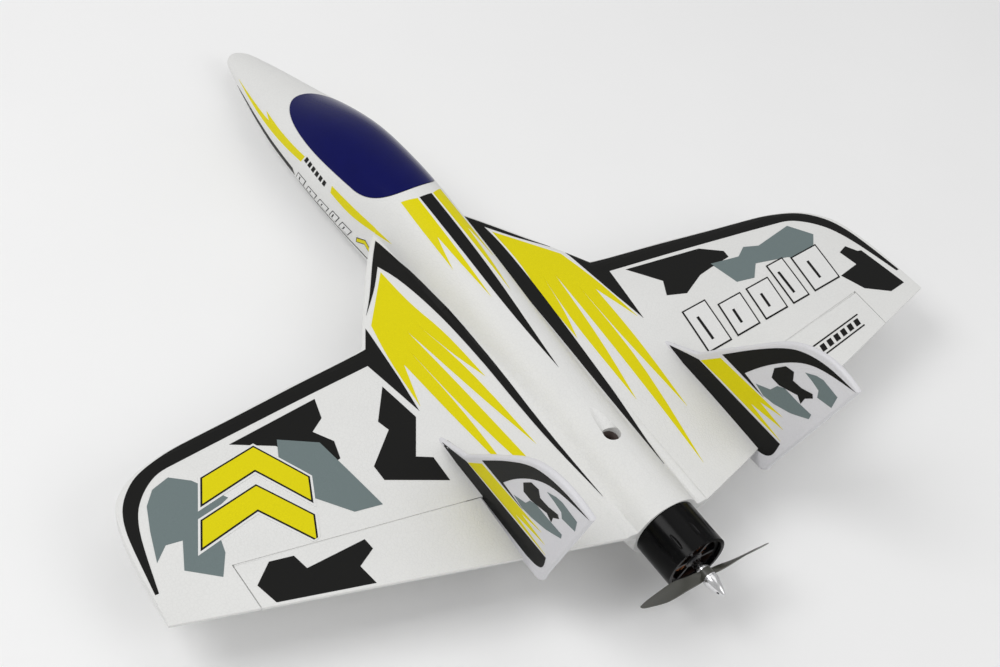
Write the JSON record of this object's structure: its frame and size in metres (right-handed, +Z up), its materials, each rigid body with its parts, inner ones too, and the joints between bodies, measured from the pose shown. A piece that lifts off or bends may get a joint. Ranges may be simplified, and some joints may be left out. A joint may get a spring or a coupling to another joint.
{
  "type": "radio-controlled foam airplane",
  "caption": "Pusher-propeller foam jet model with a tailless kinked wing, twin canted fins, hinged elevons with servo linkages, a lift-off canopy and a cowled motor.",
  "frame": {"origin": "under the middle of the length and span, on the plane that the belly rests on", "axes": "+X to the nose, +Y to the left wing tip, +Z up"},
  "size_m": [0.75, 0.783, 0.1857],
  "materials": {
    "foam": "matte",
    "canopy_blue": "gloss",
    "cowl_black": "gloss",
    "black_plastic": "satin",
    "white_plastic": "satin",
    "prop_plastic": "satin",
    "carbon": "satin",
    "polished_aluminium": "polished",
    "motor_aluminium": "satin",
    "steel": "satin",
    "iron": "satin",
    "copper": "satin",
    "bell_black": "satin",
    "brass": "polished",
    "battery_wrap": "satin",
    "strap": "matte",
    "decal_black": "satin",
    "decal_yellow": "satin",
    "decal_grey": "satin",
    "decal_white": "satin"
  },
  "bodies": {
    "airframe": {"fuselage_left": "foam", "fuselage_right": "foam", "wing_left": "foam", "wing_right": "foam", "fin_left": "foam", "fin_right": "foam", "wing_spar_tube": "carbon", "canopy_latch_catch": "black_plastic", "motor_mount": "black_plastic", "motor_screws": "steel", "motor_base": "motor_aluminium", "motor_bearings": "steel", "stator_core": "iron", "motor_windings": "copper", "motor_cowl": "cowl_black", "battery": "battery_wrap", "battery_strap": "strap", "receiver": "black_plastic", "speed_controller": "black_plastic", "servo_left": "black_plastic", "servo_right": "black_plastic"},
    "canopy_hatch": {"canopy": "canopy_blue", "canopy_peg": "black_plastic", "canopy_latch_tongue": "black_plastic"},
    "rotor": {"motor_bell": "bell_black", "motor_magnets": "steel", "motor_shaft": "steel", "prop_adapter": "polished_aluminium", "prop_washer": "polished_aluminium", "propeller": "prop_plastic", "spinner_nut": "polished_aluminium"},
    "elevon_left": {"elevon_left": "foam", "control_horn_left": "white_plastic"},
    "servo_horn_left": {"servo_arm_left": "white_plastic", "servo_output_left": "white_plastic", "servo_arm_screw_left": "steel"},
    "linkage_left": {"pushrod_left": "steel", "rod_connector_left": "brass", "grub_screw_left": "steel"},
    "elevon_right": {"elevon_right": "foam", "control_horn_right": "white_plastic"},
    "servo_horn_right": {"servo_arm_right": "white_plastic", "servo_output_right": "white_plastic", "servo_arm_screw_right": "steel"},
    "linkage_right": {"pushrod_right": "steel", "rod_connector_right": "brass", "grub_screw_right": "steel"}
  },
  "joints": [
    {"name": "canopy_lift", "type": "slide", "parent": "airframe", "child": "canopy_hatch", "axis": [0, 0, 1], "range_m": [0, 0.06]},
    {"name": "propeller_spin", "type": "hinge", "parent": "airframe", "child": "rotor", "pos_m": [-0.3375, 0, 0.0546], "axis": [1, 0, 0], "continuous": true},
    {"name": "elevon_left_hinge", "type": "hinge", "parent": "airframe", "child": "elevon_left", "pos_m": [-0.2082, 0.16, 0.0665], "axis": [0.1694, 0.9855, 0], "range_deg": [-20, 20]},
    {"name": "servo_left_output", "type": "hinge", "parent": "airframe", "child": "servo_horn_left", "pos_m": [-0.14394, 0.15017, 0.0595], "axis": [0.1694, 0.9855, 0], "range_deg": [-21, 21]},
    {"name": "pushrod_left_pivot", "type": "hinge", "parent": "servo_horn_left", "child": "linkage_left", "pos_m": [-0.14394, 0.15017, 0.0445], "axis": [0.1694, 0.9855, 0], "range_deg": [-21, 21]},
    {"name": "elevon_right_hinge", "type": "hinge", "parent": "airframe", "child": "elevon_right", "pos_m": [-0.2082, -0.16, 0.0665], "axis": [-0.1694, 0.9855, 0], "range_deg": [-20, 20]},
    {"name": "servo_right_output", "type": "hinge", "parent": "airframe", "child": "servo_horn_right", "pos_m": [-0.14394, -0.15017, 0.0595], "axis": [-0.1694, 0.9855, 0], "range_deg": [-21, 21]},
    {"name": "pushrod_right_pivot", "type": "hinge", "parent": "servo_horn_right", "child": "linkage_right", "pos_m": [-0.14394, -0.15017, 0.0445], "axis": [-0.1694, 0.9855, 0], "range_deg": [-21, 21]}
  ],
  "couplings": [
    {"joint": "servo_left_output", "follows": "elevon_left_hinge", "ratio": 1},
    {"joint": "pushrod_left_pivot", "follows": "elevon_left_hinge", "ratio": -1},
    {"joint": "servo_right_output", "follows": "elevon_right_hinge", "ratio": 1},
    {"joint": "pushrod_right_pivot", "follows": "elevon_right_hinge", "ratio": -1}
  ]
}
